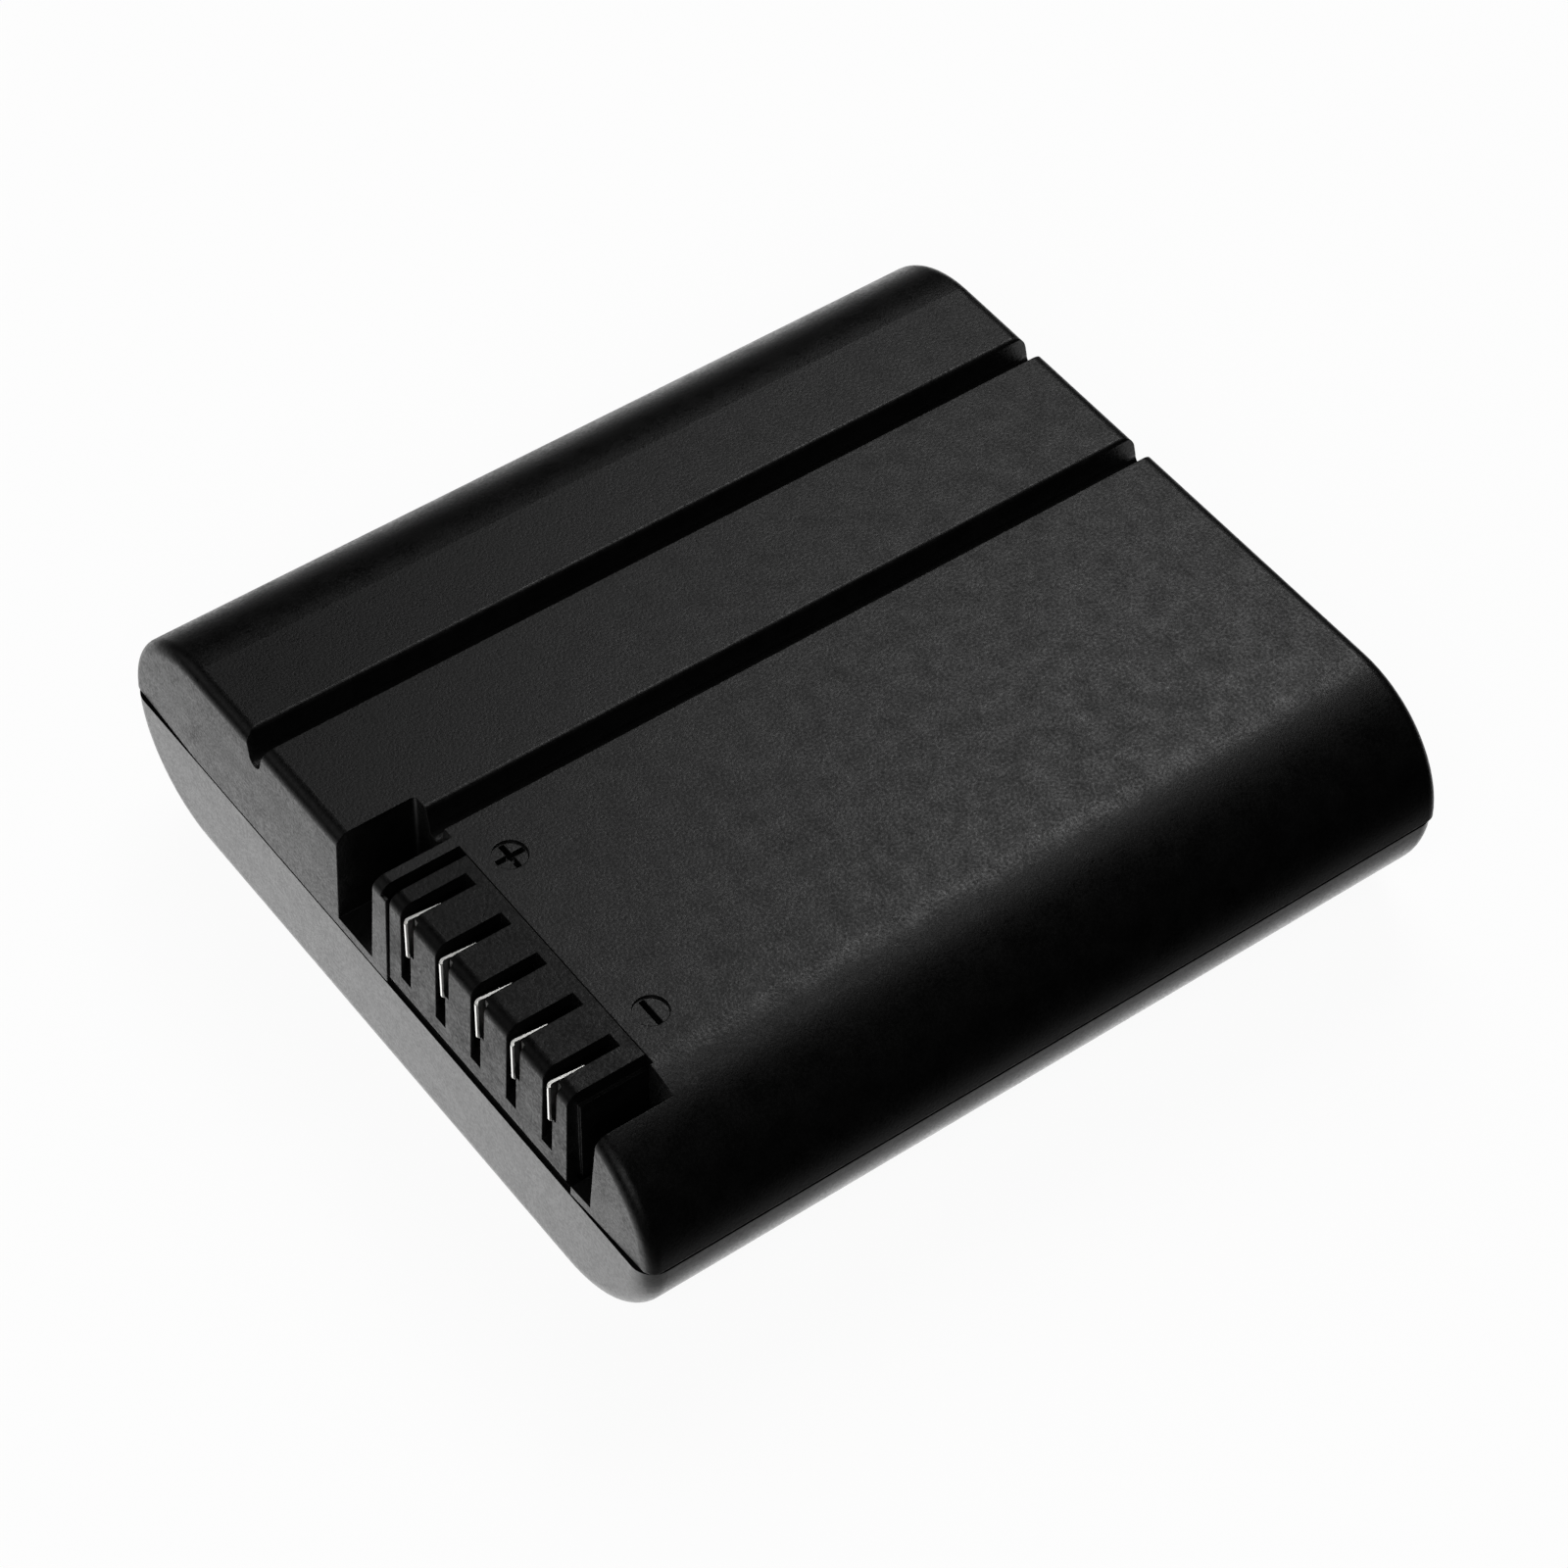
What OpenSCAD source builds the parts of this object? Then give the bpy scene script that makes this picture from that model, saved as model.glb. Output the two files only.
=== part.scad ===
// Rechargeable battery pack for a portable medical device.
// Four cylindrical cells lie side by side in a two-part case with round sides.
// +Z is up, +Y runs along the cells, and the terminals face -Y.
// The origin is the centre of the flat underside.

/* [Cells] */
// Diameter of one cell
cell_d = 18.3; // [17.8:0.1:18.8]
// Length of one cell with its button
cell_l = 65; // [64:0.5:70]
// Gap between neighbouring cells
cell_gap = 0.1; // [0.1:0.05:0.5]
// Gap between the outer cells and the case
side_gap = 0.45; // [0.3:0.05:1]
// Space for foam above and below the cells
pad_space = 0.55; // [0.4:0.05:1]
// Space between the cells and the rear wall
rear_space = 1.05; // [1:0.05:3]
// Height of the positive button
button_h = 0.5; // [0.4:0.1:0.8]
// Radius of the positive button
button_r = 3.2; // [2.5:0.1:4]
// Radius of the can's rolled edges
can_edge_r = 0.8; // [0.4:0.1:1.2]
// Depth of the rolled bead below the button end
bead_depth = 0.6; // [0.3:0.1:1]
// Distance of the bead from the button end
bead_offset = 3.6; // [3:0.1:6]

/* [Case] */
// Thickness of the case walls
wall = 1.5; // [1.3:0.1:1.8]
// Length of the bay in front of the cells
front_bay = 14.05; // [13.9:0.05:20]
// Radius along the upper end edges
top_edge_r = 1.2; // [0.8:0.1:2]
// Radius along the lower end edges
bottom_edge_r = 2.1; // [1:0.1:3]
// Radius inside the end edges
inner_edge_r = 0.5; // [0.3:0.1:1]
// Slope of the upper shell's ends in degrees
end_draft = 2; // [0.5:0.5:3]
// Inset of the lower shell behind the upper one
shell_step = 0.05; // [0:0.05:0.2]
// Height of the shadow gap between the shells
seam_h = 0.36; // [0.2:0.02:0.5]
// Depth of the shadow gap between the shells
seam_depth = 0.45; // [0.2:0.05:0.5]
// Thickness of the lower shell's locating tongue
tongue_t = 0.6; // [0.4:0.05:0.8]
// Height of the locating tongue
tongue_h = 1.2; // [0.8:0.1:2]
// Clearance around the tongue
tongue_gap = 0.08; // [0.05:0.01:0.12]
// Thickness of the cradle ribs
rib_t = 1.2; // [0.8:0.1:2]
// Number of cradle ribs along the cells
rib_count = 3; // [2:1:5]
// Height of the rib tips above the cell axis
rib_tip = 4.5; // [4.2:0.1:6]
// Clearance between a cell and its cradle
saddle_gap = 0.15; // [0.1:0.05:0.3]

/* [Guide grooves] */
// Place of the first groove across the case
groove_1_x = -17.95; // [-22:0.05:-14]
// Place of the second groove across the case
groove_2_x = -2.45; // [-3.5:0.05:-2.2]
// Width of a groove at the top, without its rounded edge
groove_w = 2.75; // [2.6:0.05:3.2]
// Depth of a groove
groove_depth = 2.85; // [2.2:0.05:3]
// Radius of a groove's floor
groove_floor_r = 0.85; // [0.7:0.05:1]
// Radius of a groove's upper edge on the far side
groove_lip_r = 0.5; // [0.3:0.05:0.8]
// Wall under a groove
groove_wall = 0.9; // [0.7:0.05:1]

/* [Terminal bay] */
// Left side of the terminal block
block_x = 2.25; // [2:0.05:3]
// Depth of the block from the front of the case
block_depth = 8; // [7.5:0.1:8.5]
// Height of the block's front above the seam
block_lift = 0.85; // [0.6:0.05:1.2]
// How far the block's front stands back
block_setback = 0.15; // [0:0.05:0.4]
// Gap between the block and the case behind it
block_gap = 0.1; // [0.05:0.05:0.2]
// Slope of the block's sides in degrees
block_draft = 1; // [0.5:0.5:2]
// Gap between the guide rib and the block
slit_w = 1.15; // [0.9:0.05:1.4]
// Width of the pocket left of the block
left_pocket_w = 5.45; // [4.5:0.05:6]
// Width of the pocket right of the block at the top
right_pocket_w = 4.2; // [3.5:0.1:4.5]
// Slope of the right pocket's outer wall in degrees
right_pocket_draft = 3.5; // [2:0.5:5]
// Shelf of the right pocket before the block's bay
right_shelf_x = 1; // [0.8:0.1:1.5]
// Floor thickness of the pockets
pocket_floor = 1.15; // [1:0.05:1.5]
// Radius of the left pocket's back corner
pocket_corner_r = 0.5; // [0.3:0.1:1]
// How much further forward the right pocket ends
right_pocket_step = 0.3; // [0.1:0.1:0.6]
// Walls around the bay
bay_wall = 1.1; // [0.8:0.05:1.3]
// Thickness of the guide rib at the top
guide_t = 1.1; // [0.8:0.05:1.3]
// Slope of the guide rib's outer face in degrees
guide_draft = 2; // [0.5:0.5:3]
// Gap between the guide rib's nose and the block
guide_nose_gap = 0.42; // [0.3:0.02:0.6]
// Thickness of the guide rib's nose behind the front
guide_nose_t = 0.7; // [0.5:0.1:1]
// How far the nose ends below the top
guide_nose_drop = 0.9; // [0.5:0.1:2]

/* [Terminals] */
// Number of terminal slots
slots = 5; // [3:1:5]
// Spacing of the slots
slot_pitch = 5.05; // [4.6:0.05:5.1]
// Width of a slot
slot_w = 1.45; // [1.3:0.05:1.7]
// Block to the left of the first slot
block_left = 1.55; // [1.3:0.05:1.8]
// Block to the right of the last slot
block_right = 1.85; // [1.5:0.05:2]
// Block behind the slots
slot_back = 1.1; // [0.9:0.1:1.4]
// Height of the slot floors above the block's bottom
slot_floor = 1.75; // [1.4:0.05:2.5]
// Depth of the narrow mouth at the front of a slot
mouth_depth = 0.55; // [0.4:0.05:0.8]
// How much a slot widens behind its mouth
slot_relief = 0.45; // [0.3:0.05:0.6]
// Thickness of the slot's roof edge over the relief
relief_drop = 1.3; // [1:0.1:2]
// Thickness of the contact strip
leaf_t = 0.3; // [0.2:0.05:0.35]
// Top of a contact below the top of the block
leaf_drop = 0.4; // [0.2:0.05:0.8]
// Length of a contact's raised part
leaf_l = 3.3; // [2.5:0.1:4]
// Lean of a contact's free end into the slot in degrees
leaf_lean = 5; // [2:0.5:6]
// Height of the raised part's front edge
leaf_front_h = 4.1; // [3:0.1:5]
// Reach of the contact's lip over the pillar
lip_reach = 0.45; // [0.3:0.05:0.6]
// Distance of the lip behind the block's front
lip_setback = 0.25; // [0.15:0.05:0.5]
// Width of the rail along the block's sides
rail_w = 0.35; // [0.2:0.05:0.5]
// Distance of the rail behind the block's front
rail_setback = 1.4; // [1:0.1:3]
// Clearance between the block's skirt and the case
skirt_gap = 0.25; // [0.1:0.05:0.4]
// Clearance between a contact and the block
leaf_gap = 0.04; // [0.02:0.01:0.08]
// Height of a contact's tail
tail_h = 1.5; // [1:0.1:2]
// Height of the tails above the slot floor
tail_lift = 1.2; // [0.8:0.1:2]
// Length of tail behind the board
tail_out = 0.8; // [0.4:0.1:1.2]

/* [Polarity marks] */
// Distance of the marks behind the block's back edge
mark_back = 2.9; // [2:0.1:5]
// Plus mark's place right of the block's left side
plus_in = 2; // [1.6:0.1:4]
// Minus mark's place left of the block's right side
minus_in = 3.3; // [1.6:0.1:5]
// Radius of a mark
mark_r = 1.55; // [1.4:0.05:2]
// Depth of a mark's disc
mark_depth = 0.22; // [0.1:0.02:0.4]
// Extra depth of the sign in the disc
sign_depth = 0.65; // [0.1:0.05:0.8]
// Width of a sign's bar
sign_w = 0.5; // [0.3:0.05:0.7]
// Length of a sign's bar
sign_l = 2.7; // [1.6:0.1:2.7]

/* [Circuit board] */
// Thickness of the board
board_t = 1; // [0.8:0.1:1.6]
// Length of the board
board_l = 64; // [60:0.5:65]
// Chamfer of the board's corners
board_chamfer = 5; // [4:0.5:7]
// Clearance above and below the board
board_gap = 0.7; // [0.5:0.1:1]
// Clearance between the board and what holds it
board_play = 0.1; // [0.05:0.05:0.2]
// Thickness of the block's rear flange
flange_t = 1; // [0.8:0.1:1.2]
// Reach of the rear flange beside the block
flange_reach = 0.7; // [0.5:0.1:0.8]
// Length of a board guide
guide_l = 5; // [3:0.5:8]
// Overlap of a board guide and the board
guide_grip = 1; // [0.6:0.1:1.5]
// Chips' centres below the seam
chip_drop = 2.5; // [1.5:0.1:3]
// Places of the power transistors across the board
mosfet_x = [-20, -14]; // [-24:1:-11]
// Size of a power transistor
mosfet_size = [4.9, 1, 6]; // [0.8:0.1:7]
// Place of the gauge chip across the board
gauge_x = -6; // [-7:0.5:-5]
// Size of the gauge chip
gauge_size = [7.8, 1.1, 4.4]; // [0.8:0.1:8]
// Place of the cell monitor across the board
monitor_x = 5; // [4:0.5:6]
// Size of the cell monitor
monitor_size = [5, 0.9, 5]; // [0.7:0.1:6]
// Place of the fuse across the board
fuse_x = 14; // [12:0.5:15]
// Size of the fuse
fuse_size = [5.2, 1.4, 3.2]; // [1:0.1:6]
// Gap between the fuse and the sense resistor
fuse_gap = 1.75; // [1:0.05:3]
// Size of the sense resistor
resistor_size = [6.3, 0.6, 3.2]; // [0.5:0.1:7]
// Places of the capacitors across the board
capacitor_x = [-9, -5, 3, 7, 11]; // [-16:1:24]
// Size of a capacitor
capacitor_size = [1.6, 0.8, 0.8]; // [0.5:0.1:2]

/* [Links and insulation] */
// Thickness of the nickel strip
link_t = 0.2; // [0.1:0.05:0.3]
// Width of the nickel strip
link_w = 7; // [5:0.5:7.5]
// Width of the tabs that pass through the board
tab_w = 3; // [2:0.5:4]
// Height of the tabs above the cell axis
tab_lift = 5; // [4.6:0.1:6]
// Thickness of the insulating sheets
sheet_t = 0.3; // [0.2:0.05:0.4]
// Gap between stacked flat pieces
stack_gap = 0.04; // [0.02:0.01:0.08]
// Margin of the insulating sheets inside the case
sheet_margin = 0.6; // [0.5:0.1:1]
// Thickness of the rings around the buttons
ring_t = 0.25; // [0.15:0.05:0.35]
// Diameter of the sense wires
wire_d = 1; // [0.8:0.1:1.2]
// Gap between a wire and the cells
wire_gap = 0.06; // [0.04:0.02:0.2]
// Diameter of the thermistor's bead
bead_d = 1.8; // [1.4:0.1:2]
// Diameter of the thermistor's leads
lead_d = 0.4; // [0.3:0.05:0.5]
// Distance of the bead behind the cell fronts
bead_back = 6; // [4:0.5:8]
// Width of the foam strips
pad_w = 4; // [3:0.5:6]

/* [Hidden] */
$fn = 96;
eps = 0.01;
over = 1;
cells = 4;
cell_r = cell_d / 2;
cell_pitch = cell_d + cell_gap;
pack_w = (cells - 1) * cell_pitch + cell_d + 2 * (side_gap + wall);
pack_h = cell_d + 2 * (pad_space + wall);
pack_l = cell_l + front_bay + rear_space + 2 * wall;
split_z = pack_h / 2;
reach = pack_h / 2;
inner_reach = reach - wall;
ceiling_z = pack_h - wall;
front_y = -pack_l / 2;
cell_front = front_y + wall + front_bay;
cell_rear = cell_front + cell_l;
first_cell_x = -(cells - 1) / 2 * cell_pitch;

groove_rise = groove_depth - groove_floor_r;
groove_slope = atan2(groove_w / 2 - groove_floor_r, groove_rise);

block_w = block_left + (slots - 1) * slot_pitch + slot_w + block_right;
block_end_x = block_x + block_w;
block_back = front_y + block_depth;
block_z = split_z + block_lift;
block_spread = (pack_h - block_z) * tan(block_draft);
slot_z = block_z + slot_floor;
slot_end = block_back - slot_back;
block_front = front_y + block_setback;
bay_back = block_back + block_gap / 2;
bay_wall_back = bay_back + bay_wall;
board_front = bay_wall_back + board_play + flange_t + board_play;
board_back = board_front + board_t;
board_h = 2 * (inner_reach - board_gap);
resistor_x = fuse_x + fuse_size.x / 2 + fuse_gap + resistor_size.x / 2;
guide_x = block_x - slit_w;
pocket_x = guide_x - guide_t - left_pocket_w;
pocket_z = split_z + pocket_floor;
right_x = block_end_x + right_pocket_w;
shelf_x = block_end_x + right_shelf_x;

leaf_z = pack_h - leaf_drop;
lip_y = block_front + lip_setback;
tail_z = slot_z + tail_lift;

link_y = cell_front - link_t - stack_gap;
front_sheet_y = link_y - sheet_t - stack_gap;
rear_link_y = cell_rear + stack_gap;
rear_sheet_y = rear_link_y + link_t + stack_gap;
wire_z = sqrt(pow(cell_r + wire_d / 2 + wire_gap, 2) - pow(cell_pitch / 2, 2));
bead_z = sqrt(pow(cell_r + bead_d / 2 + wire_gap, 2) - pow(cell_pitch / 2, 2));

case_black = [0.06, 0.06, 0.065];
block_black = [0.09, 0.09, 0.095];
nickel = [0.8, 0.79, 0.76];
board_green = [0.07, 0.3, 0.17];
chip_black = [0.05, 0.05, 0.06];
sleeve_blue = [0.12, 0.32, 0.5];
paper_white = [0.86, 0.86, 0.8];
foam_grey = [0.3, 0.3, 0.31];

function cell_x(i) = first_cell_x + i * cell_pitch;
function slot_x(i) = block_x + block_left + i * slot_pitch;
function rib_y(i) = cell_front + cell_l * (i + 0.5) / rib_count;

// Box given by its lowest and highest corners
module span(low, high) { translate(low) cube(high - low); }

// Outline drawn in X and Z, drawn out along Y from y0 to y1
module along_y(y0, y1) {
    translate([0, y1, 0]) rotate([90, 0, 0]) linear_extrude(y1 - y0) children();
}

// Half of the case's long section: X is the distance from the seam, Y runs along the case
module half_section(length, depth, edge_r, draft) {
    centre_x = depth - edge_r;
    centre_y = length / 2 - tan(draft) * centre_x - edge_r / cos(draft);
    touch = [centre_x + edge_r * sin(draft), centre_y + edge_r * cos(draft)];
    polygon([[0, -length / 2], [touch.x, -touch.y], [depth, -centre_y],
             [depth, centre_y], touch, [0, length / 2]]);
    for (side = [-1, 1]) translate([centre_x, side * centre_y]) circle(edge_r);
}

// Half of the case's outside above the seam: a flat middle between two quarter rounds
module half_body(width, length, depth, edge_r, draft) {
    straight = width - 2 * depth;
    rotate([0, -90, 0]) linear_extrude(straight, center = true)
        half_section(length, depth, edge_r, draft);
    for (side = [0, 1]) mirror([side, 0, 0]) translate([straight / 2, 0, 0])
        rotate([90, 0, 0]) rotate_extrude(angle = 90) half_section(length, depth, edge_r, draft);
}

module top_body(inset) {
    translate([0, 0, split_z])
        half_body(pack_w - 2 * inset, pack_l - 2 * inset, reach - inset,
                  max(top_edge_r - inset, inner_edge_r), end_draft);
}

module bottom_body(inset) {
    total = inset + shell_step;
    translate([0, 0, split_z]) mirror([0, 0, 1])
        half_body(pack_w - 2 * total, pack_l - 2 * total, reach - inset,
                  max(bottom_edge_r - inset, inner_edge_r), 0);
}

// Space inside the upper shell, with upright ends
module top_room() {
    translate([0, 0, split_z])
        half_body(pack_w - 2 * wall, pack_l - 2 * wall, inner_reach, inner_edge_r, 0);
}

module cell_bores(gap) {
    for (i = [0 : cells - 1])
        translate([cell_x(i), cell_front - over, split_z]) rotate([-90, 0, 0])
            cylinder(r = cell_r + gap, h = cell_l + 2 * over);
}

// Cross ribs with a saddle for each cell; side is 1 above the seam and -1 below it
module cradle_ribs(side) {
    difference() {
        intersection() {
            for (i = [0 : rib_count - 1])
                translate([0, rib_y(i), split_z + side * (reach + rib_tip) / 2])
                    cube([pack_w, rib_t, reach - rib_tip], center = true);
            if (side > 0) top_body(wall / 2); else bottom_body(wall / 2);
        }
        cell_bores(saddle_gap);
    }
}

// A pair of fins that hold the board's edge
module board_fins(x, side) {
    fin_h = board_gap + guide_grip;
    root = inner_reach + wall / 2;
    for (y = [board_front - board_play - rib_t, board_back + board_play])
        translate([x - guide_l / 2, y, split_z + (side > 0 ? inner_reach - fin_h : -root)])
            cube([guide_l, rib_t, root - inner_reach + fin_h]);
}

// Groove section around x = 0; grow widens it to make the wall below it
module groove_section(grow) {
    r = groove_floor_r + grow;
    half = groove_w / 2 + grow;
    translate([0, pack_h - groove_rise]) {
        circle(r);
        polygon([[-r, 0], [r, 0], [half, groove_rise], [half, groove_rise + over],
                 [-half, groove_rise + over], [-half, groove_rise]]);
    }
}

// Rounded edge on the groove's far side, tangent to the top
module groove_lip() {
    half = groove_w / 2 - groove_lip_r * tan(groove_slope);
    translate([-half - groove_lip_r, pack_h - groove_lip_r]) difference() {
        square([groove_lip_r + half, groove_lip_r + over]);
        circle(groove_lip_r);
    }
}

// Room for the walls under the grooves in an upright plate between y0 and y1
module groove_notches(y0, y1, gap) {
    along_y(y0 - over, y1 + over)
        for (x = [groove_1_x, groove_2_x]) translate([x, 0]) groove_section(groove_wall + gap);
}

module grooves() {
    for (x = [groove_1_x, groove_2_x])
        along_y(front_y - over, -front_y + over) translate([x, 0]) {
            groove_section(0);
            groove_lip();
        }
}

// Walls and floors around the terminal bay, before its pockets are cut
module bay_mass() {
    intersection() {
        span([pocket_x - bay_wall, front_y - over, split_z],
             [right_x + bay_wall, bay_wall_back, pack_h]);
        top_body(wall / 2);
    }
}

module bay_front() {
    intersection() {
        span([pocket_x - bay_wall, front_y - over, split_z],
             [right_x + bay_wall, front_y + wall + over, pocket_z]);
        top_body(0);
    }
}

module bay_cuts() {
    // left pocket with a rounded back corner
    translate([0, 0, pocket_z]) linear_extrude(reach) {
        span_2d([pocket_x, front_y - over], [guide_x, bay_back - pocket_corner_r]);
        span_2d([pocket_x + pocket_corner_r, front_y - over], [guide_x, bay_back]);
        translate([pocket_x + pocket_corner_r, bay_back - pocket_corner_r])
            circle(pocket_corner_r);
    }
    // bay of the block, open to the seam
    span([guide_x - eps, front_y - over, split_z - over], [shelf_x, bay_back, pack_h + over]);
    // window for the back of the block
    span([block_x - block_spread - block_gap, bay_back - over, split_z - over],
         [block_end_x + block_spread + block_gap, bay_wall_back + over, ceiling_z]);
    // right pocket with a sloping outer wall
    right_foot = (pack_h - pocket_z) * tan(right_pocket_draft);
    along_y(front_y - over, bay_back - right_pocket_step)
        polygon([[shelf_x - eps, pocket_z], [right_x - right_foot, pocket_z],
                 [right_x, pack_h], [right_x, pack_h + over], [shelf_x - eps, pack_h + over]]);
}

module span_2d(low, high) { translate(low) square(high - low); }

// Rib between the left pocket and the block, with its nose at the front
module guide_rib() {
    foot = (pack_h - split_z) * tan(guide_draft);
    intersection() {
        union() {
            along_y(front_y - over, bay_back + eps)
                polygon([[guide_x - guide_t - foot, split_z], [guide_x, split_z],
                         [guide_x, pack_h], [guide_x - guide_t, pack_h]]);
            span([guide_x - eps, front_y - over, split_z],
                 [block_x - guide_nose_gap, front_y + guide_nose_t, pack_h - guide_nose_drop]);
        }
        top_body(0);
    }
}

module polarity_mark(x, upright) {
    translate([x, block_back + mark_back, pack_h]) {
        translate([0, 0, -mark_depth]) cylinder(r = mark_r, h = over);
        for (turn = upright ? [0, 90] : [0]) rotate(turn)
            translate([-sign_l / 2, -sign_w / 2, -mark_depth - sign_depth])
                cube([sign_l, sign_w, over]);
    }
}

// Rectangle around the origin with rounded corners
module rounded_rect(size, r) {
    square([size.x - 2 * r, size.y], center = true);
    square([size.x, size.y - 2 * r], center = true);
    for (x = [-1, 1], y = [-1, 1])
        translate([x * (size.x / 2 - r), y * (size.y / 2 - r)]) circle(r);
}

// Upright plate over the seam, inset from the case and left out where the bay is
module tongue_plate(inset, height, play) {
    size = [pack_w - 2 * inset, pack_l - 2 * inset];
    difference() {
        translate([0, 0, split_z - eps]) linear_extrude(height + eps)
            rounded_rect(size, inner_edge_r);
        span([pocket_x - bay_wall - play, front_y, split_z - over],
             [right_x + bay_wall + play, front_y + 2 * wall, split_z + 2 * tongue_h]);
    }
}

// Tongue on the lower shell, with its foot on the wall's inner part
module tongue() {
    foot = wall - tongue_gap;
    difference() {
        tongue_plate(wall - tongue_t, tongue_h, tongue_gap);
        translate([0, 0, split_z - over]) linear_extrude(tongue_h + 2 * over)
            rounded_rect([pack_w - 2 * foot, pack_l - 2 * foot], inner_edge_r);
    }
}

// Shadow gap around the seam, cut into a shell whose corners have the radius edge_r
module seam_ring(edge_r) {
    difference() {
        span([-pack_w, -pack_l, split_z - seam_h / 2], [pack_w, pack_l, split_z + seam_h / 2]);
        translate([0, 0, split_z - over]) linear_extrude(2 * over)
            rounded_rect([pack_w - 2 * seam_depth, pack_l - 2 * seam_depth], edge_r - seam_depth);
    }
}

module top_shell() {
    color(case_black) difference() {
        union() {
            difference() {
                union() {
                    difference() {
                        top_body(0);
                        top_room();
                        tongue_plate(wall - tongue_t - tongue_gap, tongue_h + tongue_gap, 0);
                    }
                    bay_mass();
                    bay_front();
                    intersection() {
                        along_y(front_y, -front_y)
                            for (x = [groove_1_x, groove_2_x]) translate([x, 0]) groove_section(groove_wall);
                        top_body(wall / 2);
                    }
                    cradle_ribs(1);
                    for (x = [cell_x(0) + cell_pitch / 4, cell_x(1) - cell_pitch / 4]) board_fins(x, 1);
                }
                bay_cuts();
                grooves();
                polarity_mark(block_x + plus_in, true);
                polarity_mark(block_end_x - minus_in, false);
            }
            guide_rib();
        }
        seam_ring(top_edge_r);
    }
}

module bottom_shell() {
    color(case_black) difference() {
        union() {
            difference() {
                bottom_body(0);
                bottom_body(wall - shell_step);
            }
            tongue();
            cradle_ribs(-1);
            for (x = [cell_x(0) + cell_pitch / 4, cell_x(3) - cell_pitch / 4]) board_fins(x, -1);
        }
        seam_ring(bottom_edge_r);
    }
}

module block_sides(y0, y1, top, low, grow) {
    spread = (top - low) * tan(block_draft);
    along_y(y0, y1)
        polygon([[block_x - spread - grow, low], [block_end_x + spread + grow, low],
                 [block_end_x + grow, top], [block_x - grow, top]]);
}

module terminal_block() {
    color(block_black) difference() {
        union() {
            intersection() {
                block_sides(front_y - over, block_back, pack_h, block_z, 0);
                translate([0, block_setback, 0]) top_body(0);
            }
            block_sides(block_back - eps, bay_wall_back + board_play + eps,
                        ceiling_z - block_gap, block_z, 0);
            block_sides(block_front + rail_setback, block_back, ceiling_z, block_z, rail_w);
            span([block_x - flange_reach, bay_wall_back + board_play, block_z],
                 [block_end_x + flange_reach, board_front - board_play, ceiling_z - block_gap]);
            span([block_x, front_y + wall + skirt_gap, split_z - block_lift],
                 [block_end_x, block_back, block_z + eps]);
        }
        for (i = [0 : slots - 1]) translate([slot_x(i), 0, 0]) {
            span([0, front_y - over, slot_z], [slot_w, slot_end, pack_h + over]);
            span([-slot_relief, block_front + mouth_depth, slot_z],
                 [slot_w / 2, slot_end, pack_h - relief_drop]);
            span([slot_w - leaf_t - 2 * leaf_gap, slot_end - eps, tail_z - leaf_gap],
                 [slot_w, board_front + over, tail_z + tail_h + leaf_gap]);
            span([slot_w - eps, front_y - over, leaf_z - leaf_front_h - leaf_gap],
                 [slot_w + lip_reach + leaf_gap, lip_y + 2 * leaf_t, pack_h + over]);
        }
    }
}

// Plan of a contact strip, with X = 0 at the slot's right wall
module leaf_plan() {
    root_y = lip_y + leaf_l;
    translate([-leaf_t, root_y]) square([leaf_t, board_back + tail_out - root_y]);
    translate([-leaf_t, root_y]) rotate(-leaf_lean) translate([0, -leaf_l + leaf_t]) {
        square([leaf_t, leaf_l - leaf_t + eps]);
        difference() {
            translate([leaf_t * 2, 0]) circle(2 * leaf_t);
            translate([leaf_t * 2, 0]) circle(leaf_t);
            span_2d([-over, 0], [2 * over, 2 * over]);
            span_2d([2 * leaf_t, -over], [2 * over, over]);
        }
    }
}

module contact(i) {
    root_y = lip_y + leaf_l;
    low = slot_z + leaf_gap;
    color(nickel) translate([slot_x(i) + slot_w - leaf_gap, 0, 0]) intersection() {
        translate([0, 0, low]) linear_extrude(reach) leaf_plan();
        translate([-over, 0, 0]) rotate([90, 0, 90]) linear_extrude(2 * over)
            polygon([[lip_y - leaf_t, leaf_z], [lip_y - leaf_t, leaf_z - leaf_front_h], [root_y, low],
                     [slot_end - leaf_gap, low], [slot_end - leaf_gap, tail_z],
                     [board_back + tail_out, tail_z], [board_back + tail_out, tail_z + tail_h],
                     [slot_end - leaf_gap, tail_z + tail_h], [root_y + leaf_t, leaf_z - leaf_front_h / 2],
                     [root_y, leaf_z]]);
    }
}

module board_outline() {
    a = board_l / 2;
    b = board_h / 2;
    c = board_chamfer;
    polygon([[-a, -b + c], [-a + c, -b], [a - c, -b], [a, -b + c],
             [a, b - c], [a - c, b], [-a + c, b], [-a, b - c]]);
}

module circuit_board() {
    color(board_green) difference() {
        translate([0, 0, split_z]) along_y(board_front, board_back) board_outline();
        for (i = [0 : slots - 1])
            span([slot_x(i) + slot_w - leaf_t - 2 * leaf_gap, board_front - over, tail_z - leaf_gap],
                 [slot_x(i) + slot_w, board_back + over, tail_z + tail_h + leaf_gap]);
        for (x = [cell_x(0), 0, cell_x(3)]) translate([x, 0, split_z + tab_lift])
            span([-tab_w / 2 - leaf_gap, board_front - over, -leaf_gap],
                 [tab_w / 2 + leaf_gap, board_back + over, link_t + leaf_gap]);
        groove_notches(board_front, board_back, board_play);
    }
}

// Chip on the board's cell side, with its centre at x and z above the seam
module chip(x, z, size) {
    translate([x - size.x / 2, board_back + stack_gap, split_z + z - size.z / 2]) cube(size);
}

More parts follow.
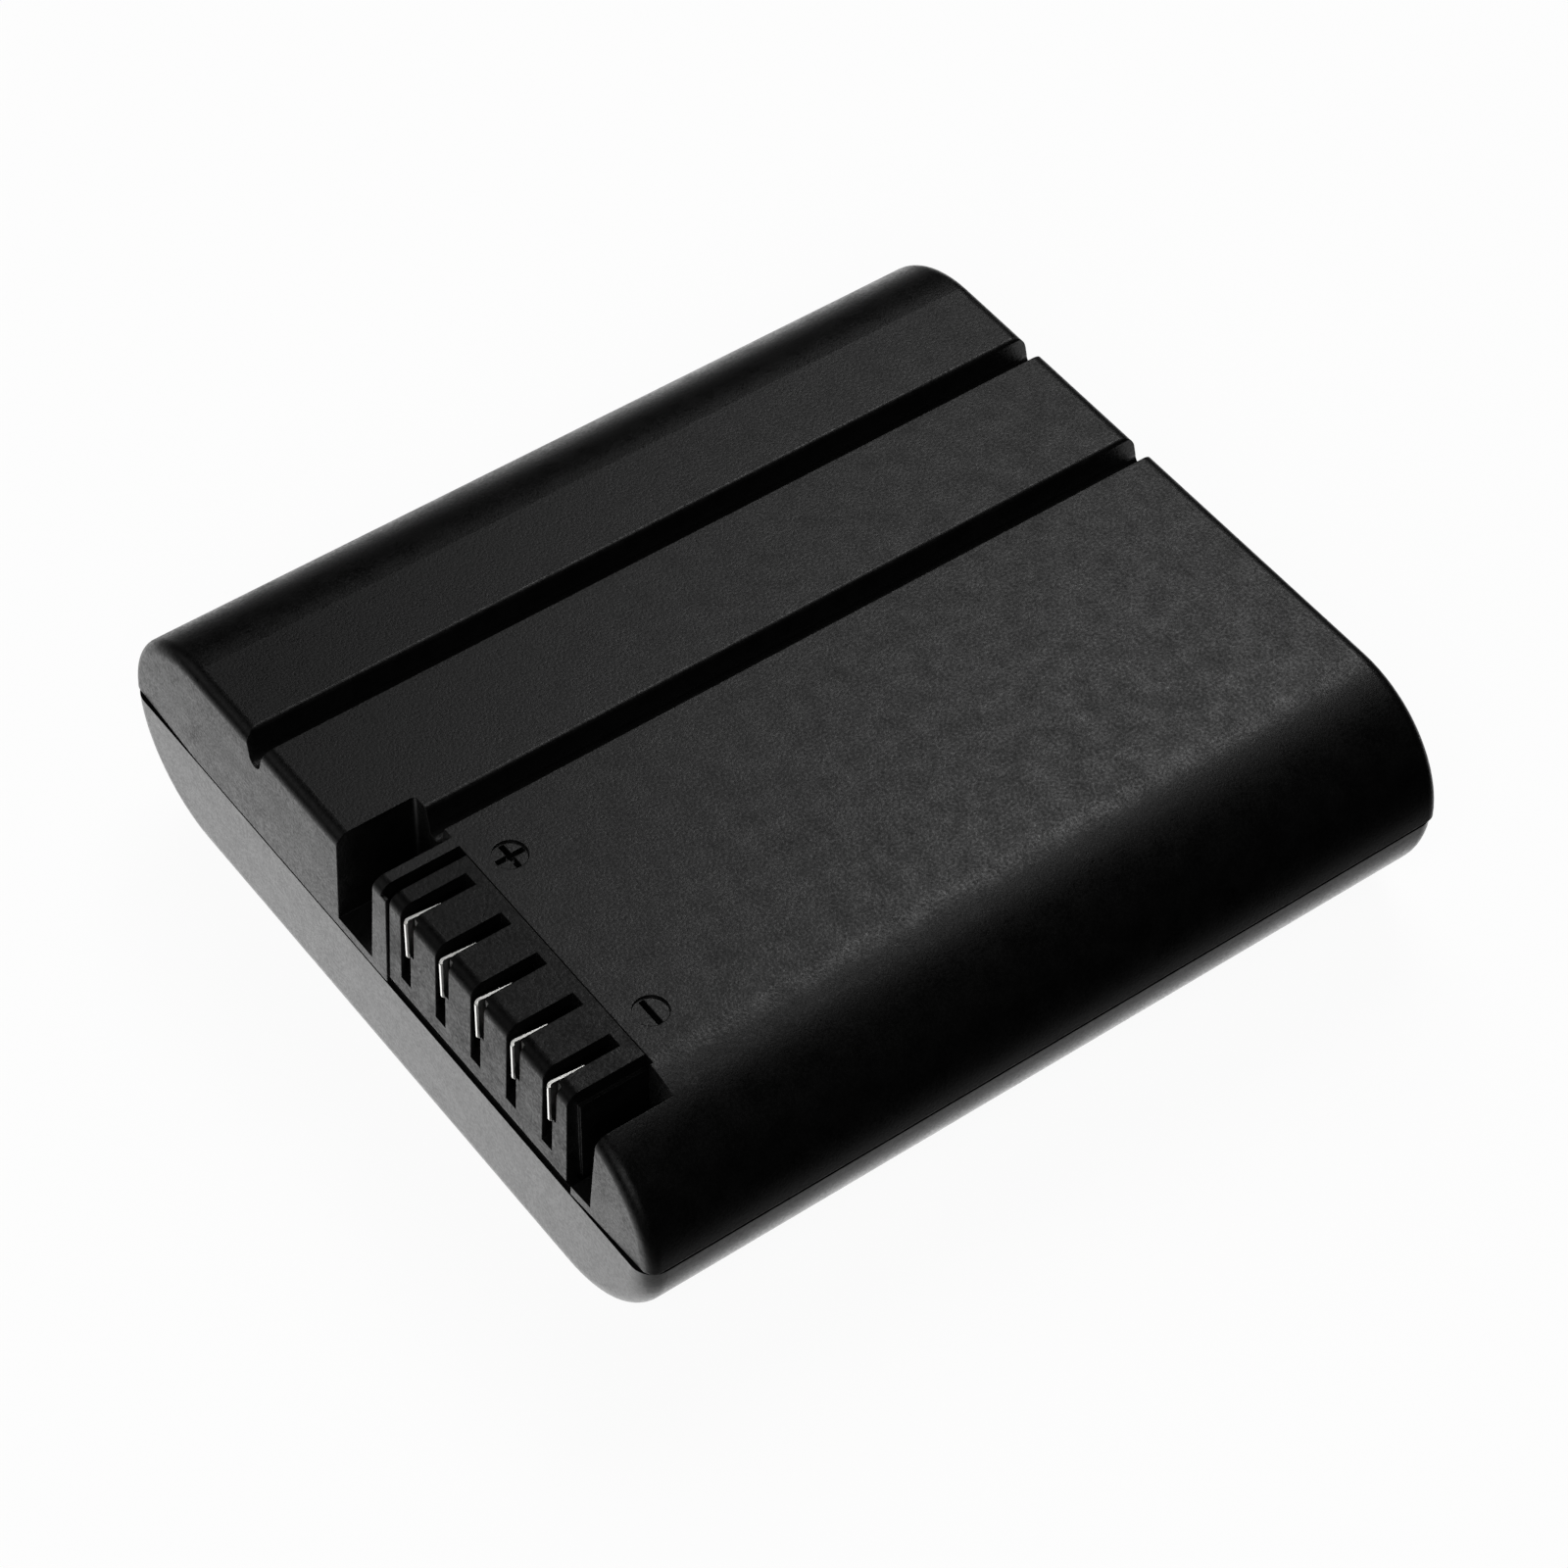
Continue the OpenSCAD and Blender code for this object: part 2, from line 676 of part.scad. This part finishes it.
module protection_mosfets() {
    color(chip_black) for (x = mosfet_x) chip(x, -chip_drop, mosfet_size);
}

module gauge_chip() { color(chip_black) chip(gauge_x, -chip_drop, gauge_size); }

module monitor_chip() { color(chip_black) chip(monitor_x, -chip_drop, monitor_size); }

module power_fuse() { color(paper_white) chip(fuse_x, -chip_drop, fuse_size); }

module sense_resistor() { color(chip_black) chip(resistor_x, -chip_drop, resistor_size); }

module chip_capacitors() { color("tan") for (x = capacitor_x) chip(x, chip_drop, capacitor_size); }

// A cell along +Z with its base at the origin and its button on top
module cell_body() {
    can_l = cell_l - button_h;
    bead_z = can_l - bead_offset;
    rotate_extrude() difference() {
        union() {
            square([cell_r - can_edge_r, can_l]);
            translate([0, can_edge_r]) square([cell_r, can_l - 2 * can_edge_r]);
            for (z = [can_edge_r, can_l - can_edge_r]) translate([cell_r - can_edge_r, z]) circle(can_edge_r);
            square([button_r, cell_l]);
        }
        translate([cell_r + bead_depth / 4, bead_z]) circle(bead_depth * 5 / 4);
        translate([-cell_r, -over]) square([cell_r, cell_l + 2 * over]);
    }
}

// The button faces the front where forward is true
module cell(i, forward) {
    color(sleeve_blue) translate([cell_x(i), forward ? cell_rear : cell_front, split_z])
        rotate([forward ? 90 : -90, 0, 0]) cell_body();
}

function button_forward(i) = i % 2 == 0;

module insulator_rings() {
    color(paper_white) for (i = [0 : cells - 1])
        translate([cell_x(i), button_forward(i) ? cell_front : cell_rear, split_z])
            rotate([button_forward(i) ? -90 : 90, 0, 0]) translate([0, 0, button_h - ring_t - stack_gap])
                difference() {
                    cylinder(r = cell_r - can_edge_r, h = ring_t);
                    translate([0, 0, -over]) cylinder(r = button_r + 2 * stack_gap, h = ring_t + 2 * over);
                }
}

// Nickel strip with round ends between two places across the pack
module strip(x0, x1, y) {
    translate([0, y, split_z]) rotate([-90, 0, 0]) linear_extrude(link_t) {
        translate([x0, -link_w / 2]) square([x1 - x0, link_w]);
        for (x = [x0, x1]) translate([x, 0]) circle(link_w / 2);
    }
}

// Tab bent forward from a strip and passed through the board
module board_tab(x) {
    span([x - tab_w / 2, board_front, split_z + tab_lift],
         [x + tab_w / 2, link_y + link_t, split_z + tab_lift + link_t]);
    span([x - tab_w / 2, link_y, split_z], [x + tab_w / 2, link_y + link_t, split_z + tab_lift + link_t]);
}

module end_tab(i) {
    color(nickel) {
        strip(cell_x(i) - eps, cell_x(i) + eps, link_y);
        board_tab(cell_x(i));
    }
}

module front_link() {
    color(nickel) {
        strip(cell_x(1), cell_x(2), link_y);
        board_tab(0);
    }
}

module rear_link(i) { color(nickel) strip(cell_x(i), cell_x(i + 1), rear_link_y); }

// Insulating sheet with round ends, its thickness along Y
module sheet(y) {
    r = inner_reach - sheet_margin;
    straight = pack_w / 2 - reach;
    difference() {
        translate([0, 0, split_z]) along_y(y, y + sheet_t) {
            translate([-straight, -r]) square([2 * straight, 2 * r]);
            for (side = [-1, 1]) translate([side * straight, 0]) circle(r);
        }
        groove_notches(y, y + sheet_t, board_play);
    }
}

module front_insulator() {
    color(paper_white) difference() {
        sheet(front_sheet_y);
        for (x = [cell_x(0), 0, cell_x(3)])
            translate([x, front_sheet_y, split_z + tab_lift + link_t / 2])
                cube([tab_w + 2 * leaf_gap, 2 * over, link_t + 2 * leaf_gap], center = true);
        for (side = [-1, 1]) translate([side * cell_pitch, front_sheet_y - over, split_z + wire_z])
            rotate([-90, 0, 0]) cylinder(d = wire_d + 2 * wire_gap, h = 2 * over);
        translate([0, front_sheet_y - over, split_z - bead_z]) rotate([-90, 0, 0])
            cylinder(d = bead_d, h = 2 * over);
    }
}

module rear_insulator() { color(paper_white) sheet(rear_sheet_y); }

module sense_wire(side) {
    start = board_back + stack_gap;
    color(side < 0 ? "firebrick" : "goldenrod")
        translate([side * cell_pitch, start, split_z + wire_z]) rotate([-90, 0, 0])
            cylinder(d = wire_d, h = rear_link_y - stack_gap - start);
}

module thermistor() {
    start = board_back + stack_gap;
    bead_y = cell_front + bead_back;
    color("darkorange") translate([0, 0, split_z - bead_z]) {
        translate([0, bead_y, 0]) sphere(d = bead_d);
        for (side = [-1, 1]) translate([side * bead_d / 4, start, 0]) rotate([-90, 0, 0])
            cylinder(d = lead_d, h = bead_y - start);
    }
}

// Foam strips over the crowns of the cells, between the ribs
module foam_pads(side) {
    pad_t = pad_space - 2 * stack_gap;
    room = cell_l / rib_count - rib_t - 2 * over;
    edge_x = pack_w / 2 - reach - pad_w / 2;
    color(foam_grey) for (i = [0 : cells - 1], j = [0 : rib_count - 2])
        translate([max(-edge_x, min(edge_x, cell_x(i))), (rib_y(j) + rib_y(j + 1)) / 2,
                   split_z + side * (cell_r + pad_space / 2)])
            cube([pad_w, room, pad_t], center = true);
}

top_shell();
bottom_shell();
terminal_block();
contact(0);  // contact_1
contact(1);  // contact_2
contact(2);  // contact_3
contact(3);  // contact_4
contact(4);  // contact_5
circuit_board();
protection_mosfets();
gauge_chip();
monitor_chip();
power_fuse();
sense_resistor();
chip_capacitors();
cell(0, button_forward(0));  // cell_1
cell(1, button_forward(1));  // cell_2
cell(2, button_forward(2));  // cell_3
cell(3, button_forward(3));  // cell_4
insulator_rings();
end_tab(0);  // positive_tab
front_link();
end_tab(3);  // negative_tab
rear_link(0);  // rear_link_left
rear_link(2);  // rear_link_right
front_insulator();
rear_insulator();
sense_wire(-1);  // sense_wire_left
sense_wire(1);  // sense_wire_right
thermistor();
foam_pads(1);  // foam_pads_upper
foam_pads(-1);  // foam_pads_lower
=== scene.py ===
import math

import bpy
from mathutils import Matrix, Vector

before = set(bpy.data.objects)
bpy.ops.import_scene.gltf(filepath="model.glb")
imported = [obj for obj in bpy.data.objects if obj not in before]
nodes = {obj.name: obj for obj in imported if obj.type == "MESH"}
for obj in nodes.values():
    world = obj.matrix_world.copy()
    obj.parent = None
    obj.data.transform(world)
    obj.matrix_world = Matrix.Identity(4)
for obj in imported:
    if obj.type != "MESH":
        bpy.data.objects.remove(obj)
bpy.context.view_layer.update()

scene = bpy.context.scene
scene.view_settings.view_transform = "Standard"
mm = 0.001


def linear(hexColour):
    # sRGB hex to the linear values that the shaders take
    parts = [int(hexColour[i:i + 2], 16) / 255 for i in (1, 3, 5)]
    return [p / 12.92 if p <= 0.04045 else ((p + 0.055) / 1.055) ** 2.4 for p in parts] + [1]


def add(tree, kind, settings=None, **links):
    # adds one node; a link is a value or another node's socket, and n0 means the input number 0
    node = tree.nodes.new("ShaderNode" + kind)
    for name, value in (settings or {}).items():
        setattr(node, name, value)
    for name, value in links.items():
        key = int(name[1:]) if name[0] == "n" and name[1:].isdigit() else name.replace("_", " ")
        socket = node.inputs[key]
        if isinstance(value, bpy.types.NodeSocket):
            tree.links.new(value, socket)
        else:
            socket.default_value = value
    return node


def newMaterial(name):
    material = bpy.data.materials.new(name)
    material.use_nodes = True
    tree = material.node_tree
    tree.nodes.clear()
    place = add(tree, "TexCoord").outputs["Object"]
    return material, tree, place


def finishMaterial(tree, shader):
    output = add(tree, "OutputMaterial")
    tree.links.new(shader.outputs[0], output.inputs["Surface"])


def twoTones(tree, fac, dark, light, middle=0.5, spread=0.15):
    # runs from the dark to the light colour around the middle of a pattern
    tone = add(tree, "ValToRGB", None, Fac=fac)
    for point, colour, side in zip(tone.color_ramp.elements, (dark, light), (-1, 1)):
        point.color = linear(colour)
        point.position = middle + side * spread
    return tone.outputs["Color"]


def around(tree, fac, middle, spread):
    # a number that follows a pattern between middle - spread and middle + spread
    span = add(tree, "MapRange", None, Value=fac, To_Min=middle - spread, To_Max=middle + spread)
    return span.outputs["Result"]


# how finely the patterns are broken up, the same in every material
patterns = {
    "grainDetail": 2.0, "grainBreak": 0.6, "cloudDetail": 3.0, "lineDetail": 2.0, "fibreDetail": 4.0,
    "fibreRelief": 0.6, "foamMiddle": 0.45, "foamSpread": 0.25, "edgeSamples": 8,
}


# Moulded plastics: a matt skin copied from a spark-eroded mould, seen as a fine grain in the gloss
def mouldedPlastic(name, v):
    material, tree, place = newMaterial(name)
    grain = add(tree, "TexNoise", None, Vector=place, Scale=1 / (v["grain"] * mm),
                Detail=patterns["grainDetail"], Roughness=patterns["grainBreak"])
    cloud = add(tree, "TexNoise", None, Vector=place, Scale=1 / (v["cloud"] * mm),
                Detail=patterns["cloudDetail"])
    edge = add(tree, "Bevel", {"samples": patterns["edgeSamples"]}, Radius=v["edge"] * mm)
    bump = add(tree, "Bump", None, Strength=1.0, Distance=v["relief"] * mm,
               Height=grain.outputs["Fac"], Normal=edge.outputs["Normal"])
    rough = add(tree, "Math", {"operation": "ADD"},
                n0=around(tree, grain.outputs["Fac"], v["roughness"], v["spread"]),
                n1=around(tree, cloud.outputs["Fac"], 0, v.get("mottle", 0)))
    shader = add(tree, "BsdfPrincipled", None, IOR=v["ior"], Normal=bump.outputs["Normal"],
                 Base_Color=twoTones(tree, cloud.outputs["Fac"], v["dark"], v["light"]),
                 Roughness=rough.outputs[0])
    if "coat" in v:
        shader.inputs["Coat Weight"].default_value = v["coat"]
        shader.inputs["Coat Roughness"].default_value = v["coatRoughness"]
    finishMaterial(tree, shader)
    return material


# Rolled or stamped metal: fine lines along the strip from the rolls, and edges that catch the light
def rolledMetal(name, v):
    material, tree, place = newMaterial(name)
    drawn = add(tree, "Mapping", None, Vector=place, Scale=v["stretch"])
    lines = add(tree, "TexNoise", None, Vector=drawn.outputs["Vector"], Scale=1 / (v["line"] * mm),
                Detail=patterns["lineDetail"])
    edge = add(tree, "Bevel", {"samples": patterns["edgeSamples"]}, Radius=v["edge"] * mm)
    bump = add(tree, "Bump", None, Strength=1.0, Distance=v["relief"] * mm,
               Height=lines.outputs["Fac"], Normal=edge.outputs["Normal"])
    shader = add(tree, "BsdfPrincipled", None, Metallic=1.0, Normal=bump.outputs["Normal"],
                 Base_Color=twoTones(tree, lines.outputs["Fac"], v["dark"], v["light"]),
                 Roughness=around(tree, lines.outputs["Fac"], v["roughness"], v["spread"]))
    finishMaterial(tree, shader)
    return material


# Fibrous sheet: paper fibres or glass cloth, seen as short streaks that make the sheet look dry
def fibrousSheet(name, v):
    material, tree, place = newMaterial(name)
    drawn = add(tree, "Mapping", None, Vector=place, Scale=v["stretch"])
    fibres = add(tree, "TexNoise", None, Vector=drawn.outputs["Vector"], Scale=1 / (v["fibre"] * mm),
                 Detail=patterns["fibreDetail"], Distortion=v["curl"])
    bump = add(tree, "Bump", None, Strength=patterns["fibreRelief"], Distance=v["relief"] * mm,
               Height=fibres.outputs["Fac"])
    shader = add(tree, "BsdfPrincipled", None, Normal=bump.outputs["Normal"], IOR=v["ior"],
                 Base_Color=twoTones(tree, fibres.outputs["Fac"], v["dark"], v["light"]),
                 Roughness=around(tree, fibres.outputs["Fac"], v["roughness"], v["spread"]))
    finishMaterial(tree, shader)
    return material


# Cut foam: open cells whose hollows are darkened with painted shade, which makes the strips look soft
def cutFoam(name, v):
    material, tree, place = newMaterial(name)
    cells = add(tree, "TexVoronoi", {"feature": "SMOOTH_F1"}, Vector=place, Scale=1 / (v["cell"] * mm))
    bump = add(tree, "Bump", {"invert": True}, Strength=1.0, Distance=v["relief"] * mm,
               Height=cells.outputs["Distance"])
    # the tone turns dark where the cells' bump is low: painted shade in the hollows, not the foam's own
    # colour
    paintedHollowShade = twoTones(tree, cells.outputs["Distance"], v["light"], v["dark"],
                     patterns["foamMiddle"], patterns["foamSpread"])
    shader = add(tree, "BsdfPrincipled", None, Roughness=v["roughness"], Normal=bump.outputs["Normal"],
                 Base_Color=paintedHollowShade)
    finishMaterial(tree, shader)
    return material


print("materials")
# upper case: black ABS with a dry satin grain that breaks the softbox up into a grey haze
upperAbs = mouldedPlastic("satin ABS", {
    "dark": "#040404", "light": "#060606", "grain": 0.26, "cloud": 2.2, "roughness": 0.40,
    "mottle": 0.1, "spread": 0.24, "relief": 0.018, "edge": 0.1, "ior": 1.5})
# lower case: the same black ABS from a smoother mould, so that its ends shine more near the table
lowerAbs = mouldedPlastic("smooth ABS", {
    "dark": "#050505", "light": "#070707", "grain": 0.26, "cloud": 2.2, "roughness": 0.38,
    "mottle": 0.08, "spread": 0.22, "relief": 0.016, "edge": 0.04, "ior": 1.5,
    "coat": 0.42, "coatRoughness": 0.36})
# terminal block: glass-filled PBT, drier than the case, with a slightly coarser skin
blockPbt = mouldedPlastic("moulded PBT", {
    "dark": "#040404", "light": "#060606", "grain": 0.3, "cloud": 2.0, "roughness": 0.42,
    "mottle": 0.16, "spread": 0.3, "relief": 0.02, "edge": 0.1, "ior": 1.37})
# contacts: nickel plated bronze, so bright that each contact draws a white line in its dark slot
contactNickel = rolledMetal("nickel plated bronze", {
    "dark": "#e9e8e4", "light": "#f7f6f3", "line": 0.3, "stretch": (1, 0.08, 0.08), "roughness": 0.3,
    "spread": 0.05, "relief": 0.0006, "edge": 0.06})
# links: pure nickel strip, greyer and duller than the contacts
linkNickel = rolledMetal("nickel strip", {
    "dark": "#a9a59b", "light": "#c4c0b6", "line": 0.15, "stretch": (0.06, 1, 1), "roughness": 0.34,
    "spread": 0.08, "relief": 0.003, "edge": 0.04})
# board: green solder mask over glass cloth, whose weave shows through as a faint ripple
boardMask = fibrousSheet("solder mask on FR4", {
    "dark": "#12492c", "light": "#1a5d39", "fibre": 0.5, "stretch": (1, 1, 0.3), "curl": 0.2,
    "relief": 0.006, "roughness": 0.34, "spread": 0.06, "ior": 1.52})
# chips: black epoxy, whose dry moulded face stays greyer and flatter than the case
chipEpoxy = mouldedPlastic("moulded epoxy", {
    "dark": "#131315", "light": "#1a1a1c", "grain": 0.12, "cloud": 2, "roughness": 0.55,
    "spread": 0.08, "relief": 0.004, "edge": 0.06, "ior": 1.5})
# fuse and capacitors: fired ceramic, pale and slightly speckled
firedCeramic = mouldedPlastic("fired ceramic", {
    "dark": "#a3835a", "light": "#bd9c70", "grain": 0.08, "cloud": 0.6, "roughness": 0.38,
    "spread": 0.06, "relief": 0.002, "edge": 0.05, "ior": 1.6})
# cells: shrunk PVC sleeve, smooth and glossy with shallow waves from the shrinking
cellSleeve = mouldedPlastic("shrunk PVC sleeve", {
    "dark": "#1c4a73", "light": "#235886", "grain": 2.5, "cloud": 9, "roughness": 0.24,
    "spread": 0.03, "relief": 0.02, "edge": 0.05, "ior": 1.53})
# insulators: hard fish paper with visible fibres and no shine
fishPaper = fibrousSheet("fish paper", {
    "dark": "#c9c7b6", "light": "#dedccd", "fibre": 0.35, "stretch": (0.35, 1, 1), "curl": 0.8,
    "relief": 0.01, "roughness": 0.72, "spread": 0.08, "ior": 1.5})
# pads: dark grey foam, with painted shade in the hollows of its open cells
padFoam = cutFoam("cut foam", {
    "dark": "#242426", "light": "#46464a", "cell": 0.4, "relief": 0.12, "roughness": 0.9})
# wires: soft PVC with a waxy shine
wireRed = mouldedPlastic("red PVC", {
    "dark": "#8f1d18", "light": "#a5241d", "grain": 0.3, "cloud": 5, "roughness": 0.38,
    "spread": 0.05, "relief": 0.006, "edge": 0.03, "ior": 1.53})
wireYellow = mouldedPlastic("yellow PVC", {
    "dark": "#c18f12", "light": "#d5a01b", "grain": 0.3, "cloud": 5, "roughness": 0.38,
    "spread": 0.05, "relief": 0.006, "edge": 0.03, "ior": 1.53})
# thermistor: a bead of dipped epoxy that shines like varnish
dippedEpoxy = mouldedPlastic("dipped epoxy", {
    "dark": "#9c4a12", "light": "#b4581a", "grain": 0.5, "cloud": 2, "roughness": 0.22,
    "spread": 0.03, "relief": 0.01, "edge": 0.03, "ior": 1.55})

slotFinish = {
    "case_abs": upperAbs, "block_pbt": blockPbt, "contact_nickel": contactNickel,
    "link_nickel": linkNickel, "board_fr4": boardMask, "chip_epoxy": chipEpoxy,
    "ceramic": firedCeramic, "cell_sleeve": cellSleeve, "insulation_paper": fishPaper,
    "foam": padFoam, "wire_red": wireRed, "wire_yellow": wireYellow, "thermistor_epoxy": dippedEpoxy}
for node in nodes.values():
    for slot in node.material_slots:
        slot.material = slotFinish[slot.material.name]
# both shells share the slot case_abs, and the lower one shines more
for slot in nodes["bottom_shell"].material_slots:
    slot.material = lowerAbs

print("lamps")
# bearings and heights in degrees, distances and sizes in metres
lamps = {
    # softbox behind the pack, whose reflection makes the top and the left side grey
    "overhead": {"bearing": 127.3, "height": 53.9, "distance": 1.2, "size": (0.325, 0.325),
                 "radiance": 5.5, "diffuse": True, "glossy": True},
    # small softbox that carries the grey of the top over to the start of the right side
    "edgeLight": {"bearing": 75, "height": 71.5, "distance": 1.2, "size": (0.23, 0.23),
                  "radiance": 2.35, "diffuse": True, "glossy": True},
    # the level of light for the colours, without a reflection of its own
    "fill": {"bearing": -44, "height": 44, "distance": 1.4, "size": (0.9, 0.9),
             "radiance": 5.0, "diffuse": True, "glossy": False},
    "rearFill": {"bearing": 150, "height": 40, "distance": 1.4, "size": (0.9, 0.9),
                 "radiance": 3.6, "diffuse": True, "glossy": False},
    # dim walls of the room, which give the back of the pack its form and hardly show from the front
    "wallRight": {"bearing": -45, "height": 32, "distance": 1.4, "size": (1.1, 0.8),
                  "radiance": 0.7, "diffuse": False, "glossy": True},
    "wallLeft": {"bearing": -135, "height": 32, "distance": 1.4, "size": (1.1, 0.8),
                 "radiance": 0.3, "diffuse": False, "glossy": True},
}


def areaLamp(name, place, facing, size, radiance, diffuse, glossy):
    # a lit rectangle of an even radiance that the camera doesn't see
    lamp = bpy.data.lights.new(name, "AREA")
    lamp.shape = "RECTANGLE"
    lamp.size, lamp.size_y = size
    lamp.energy = radiance * math.pi * lamp.size * lamp.size_y
    box = bpy.data.objects.new(name, lamp)
    box.location = place
    box.rotation_mode = "QUATERNION"
    box.rotation_quaternion = (-facing).to_track_quat("Z", "Y")
    box.visible_camera = False
    box.visible_diffuse, box.visible_glossy = diffuse, glossy
    scene.collection.objects.link(box)


for name, v in lamps.items():
    bearing, height = math.radians(v["bearing"]), math.radians(v["height"])
    flat = Vector((math.cos(bearing), math.sin(bearing), 0)) * math.cos(height)
    away = flat + Vector((0, 0, math.sin(height)))
    areaLamp(name, away * v["distance"], -away, v["size"], v["radiance"], v["diffuse"], v["glossy"])

# lit parts of the table in mm, seen only in the gloss of the pack's ends and sides
tables = {
    "tableNear": {"x": (-80, 38), "y": (-57, 85), "radiance": 0.7},
    "tableRearLeft": {"x": (-210, -62), "y": (25, 180), "radiance": 0.5},
}
tableLift = 0.02
for name, v in tables.items():
    middle = Vector((sum(v["x"]) / 2, sum(v["y"]) / 2, tableLift)) * mm
    size = ((v["x"][1] - v["x"][0]) * mm, (v["y"][1] - v["y"][0]) * mm)
    areaLamp(name, middle, Vector((0, 0, 1)), size, v["radiance"], False, True)

# white for the camera, a dark room for everything else
studio = {"seen": "#ffffff", "room": "#0c0c0c"}
world = bpy.data.worlds.new("studio")
scene.world = world
world.use_nodes = True
tree = world.node_tree
tree.nodes.clear()
rays = add(tree, "LightPath")
tone = add(tree, "Mix", {"data_type": "RGBA"}, n0=rays.outputs["Is Camera Ray"],
           n6=linear(studio["room"]), n7=linear(studio["seen"]))
backdrop = add(tree, "Background", None, Color=tone.outputs[2], Strength=1.0)
worldOut = add(tree, "OutputWorld")
tree.links.new(backdrop.outputs[0], worldOut.inputs["Surface"])

print("floor")
# a pale floor that the camera sees as white, with the pack's shadow on it; in the gloss it glows as a
# painted reflection, white near the pack, fading with the distance and darkened by painted shade along
# the pack's right side
# size in metres, the painted shade's start and end and the reach in mm; the ramps hold pairs of a place
# and a level, both 0 to 1
ground = {
    "size": 4.0, "under": 0.02, "glow": 0.93, "light": "#ffffff", "card": "#f4f4f4",
    "paintedShadeStart": 38, "paintedShadeEnd": 62, "reach": 300,
    "paintedShadeRamp": ((0.0, 0.85), (0.1, 0.62), (0.2, 0.42), (0.35, 0.2), (0.5, 0.06), (1.0, 0.0)),
    "fade": ((0.10, 1.0), (0.28, 0.7), (0.42, 0.4), (0.7, 0.16), (1.0, 0.06)),
}
bpy.ops.mesh.primitive_plane_add(size=ground["size"], location=(0, 0, -ground["under"] * mm))
floor = bpy.context.object
floor.name = "floor"
material, tree, place = newMaterial("pale floor")
rays = add(tree, "LightPath")
axes = add(tree, "SeparateXYZ", None, Vector=place)
# 0 to 1 across the strip where painted shade darkens the floor's glow in the gloss, towards the pack's
# right side
across = add(tree, "MapRange", None, Value=axes.outputs["X"],
             From_Min=ground["paintedShadeStart"] * mm, From_Max=ground["paintedShadeEnd"] * mm)
distance = add(tree, "VectorMath", {"operation": "LENGTH"}, n0=place)
outwards = add(tree, "Math", {"operation": "DIVIDE"}, n0=distance.outputs["Value"],
               n1=ground["reach"] * mm)
ramps = []
for fac, points in ((across.outputs["Result"], ground["paintedShadeRamp"]), (outwards.outputs[0], ground["fade"])):
    ramp = add(tree, "ValToRGB", None, Fac=fac)
    elements = ramp.color_ramp.elements
    while len(elements) < len(points):
        elements.new(1.0)
    for element, (spot, level) in zip(elements, points):
        element.position, element.color = spot, (level, level, level, 1)
    ramps.append(ramp.outputs["Color"])
paintedReflection = add(tree, "Math", {"operation": "MULTIPLY"}, n0=ramps[0], n1=ramps[1])
# 1 to the camera, the ramps' painted reflection in the gloss and nothing for other rays
strength = add(tree, "Math", {"operation": "MULTIPLY_ADD"}, n0=rays.outputs["Is Glossy Ray"],
               n1=paintedReflection.outputs[0], n2=rays.outputs["Is Camera Ray"])
glow = add(tree, "Emission", None, Color=linear(ground["light"]), Strength=strength.outputs[0])
card = add(tree, "BsdfDiffuse", None, Color=linear(ground["card"]))
# the rest of the glow's share is a real diffuse card, which holds the shadow
share = add(tree, "Math", {"operation": "MAXIMUM"}, n0=rays.outputs["Is Glossy Ray"], n1=ground["glow"])
surface = add(tree, "MixShader", None, n0=share.outputs[0], n1=card.outputs[0], n2=glow.outputs[0])
finishMaterial(tree, surface)
floor.data.materials.append(material)

print("camera")
# place and target in mm, roll in degrees, lens and sensor as on a camera, near and far in metres
camera = {
    "place": (212.408, -163.582, 316.150), "target": (3.390, -2.100, 11.200), "roll": 1.683,
    "lens": 108.394, "sensor": 36, "near": 0.01, "far": 20,
}
lens = bpy.data.cameras.new("camera")
lens.sensor_width, lens.lens = camera["sensor"], camera["lens"]
lens.clip_start, lens.clip_end = camera["near"], camera["far"]
eye = bpy.data.objects.new("camera", lens)
scene.collection.objects.link(eye)
scene.camera = eye
stand = Vector(camera["place"]) * mm
aim = (Vector(camera["target"]) * mm - stand).to_track_quat("-Z", "Y")
roll = Matrix.Rotation(math.radians(camera["roll"]), 4, "Z")
eye.matrix_world = Matrix.Translation(stand) @ aim.to_matrix().to_4x4() @ roll
